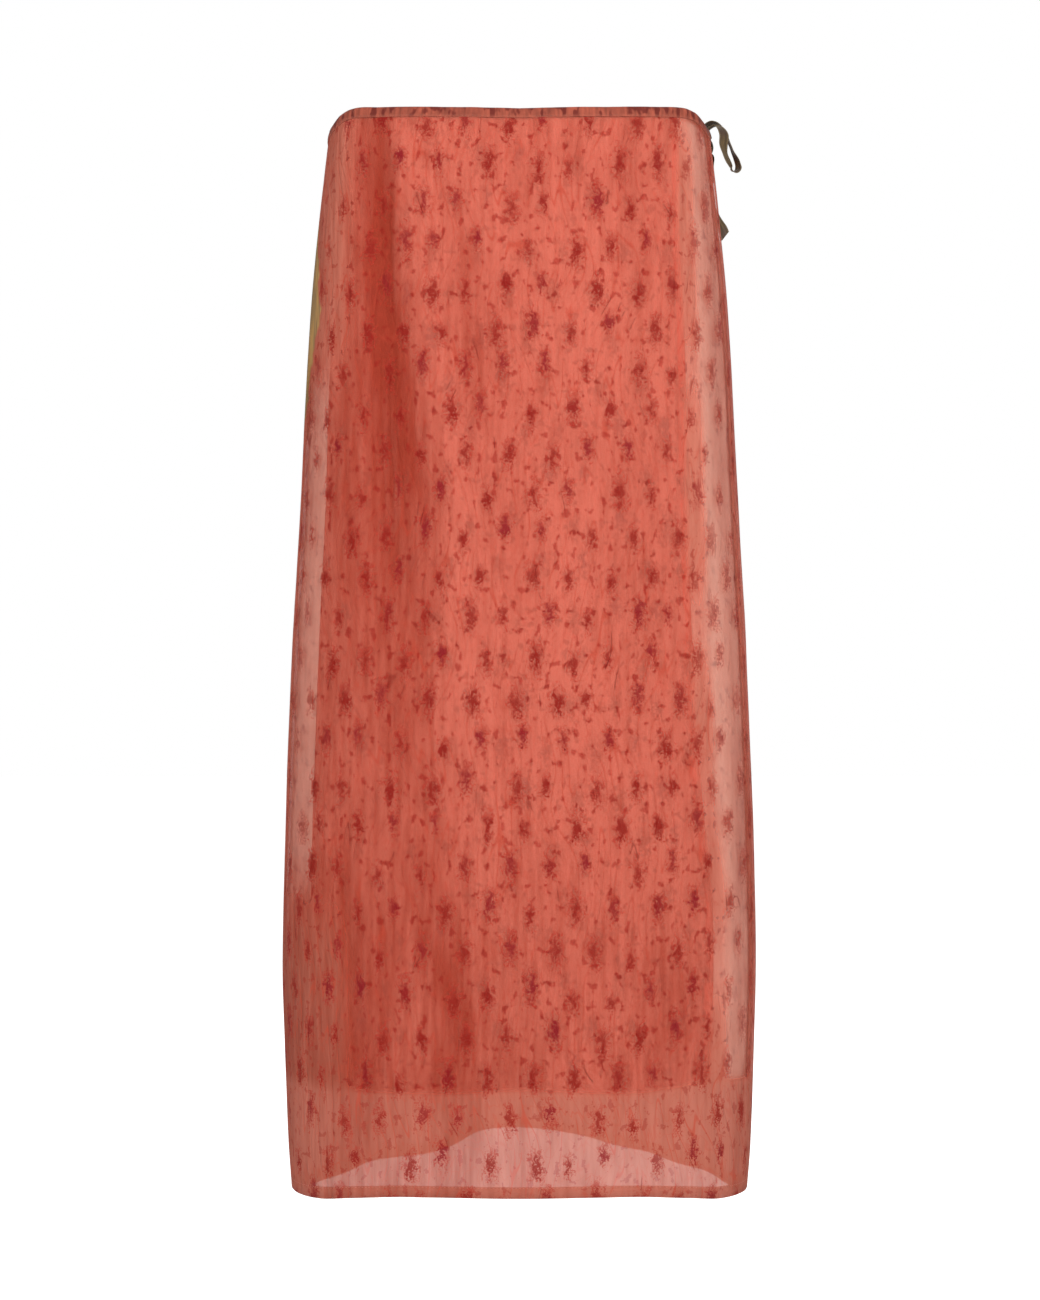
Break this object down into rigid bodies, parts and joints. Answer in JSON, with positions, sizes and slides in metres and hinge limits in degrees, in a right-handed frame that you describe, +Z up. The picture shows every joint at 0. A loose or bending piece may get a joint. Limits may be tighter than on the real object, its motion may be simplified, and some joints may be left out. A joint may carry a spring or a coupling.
{
  "type": "wrap skirt",
  "caption": "Long straight wrap skirt of sheer crinkled print over a shorter under wrap and lining, with a narrow waistband and a ribbon bow at one side.",
  "frame": {"origin": "middle of the waist opening, level with the top of the waistband at centre front", "axes": "+Z up the body, -Y to the front, +X to the side with the ribbon ties"},
  "size_m": [0.3985, 0.2405, 0.9161],
  "materials": {
    "sheer_print": "sheer crinkled silk, coral with small dark red sprigs",
    "under_print": "crinkled silk, deeper coral with soft red sprigs",
    "lining": "plain pale blush lining silk, soft sheen",
    "waistband": "gathered dusky rose brown silk, matt",
    "ribbon": "olive brown ribbon, dull satin"
  },
  "bodies": {
    "root": {"outer_front": "sheer_print", "outer_back": "sheer_print", "under_front": "under_print", "lining_front": "lining", "lining_back": "lining", "waistband_front": "waistband", "waistband_back": "waistband", "tie_knot": "ribbon", "tie_loop_front": "ribbon", "tie_loop_back": "ribbon", "tie_tail_front": "ribbon", "tie_tail_back": "ribbon"}
  },
  "joints": []
}
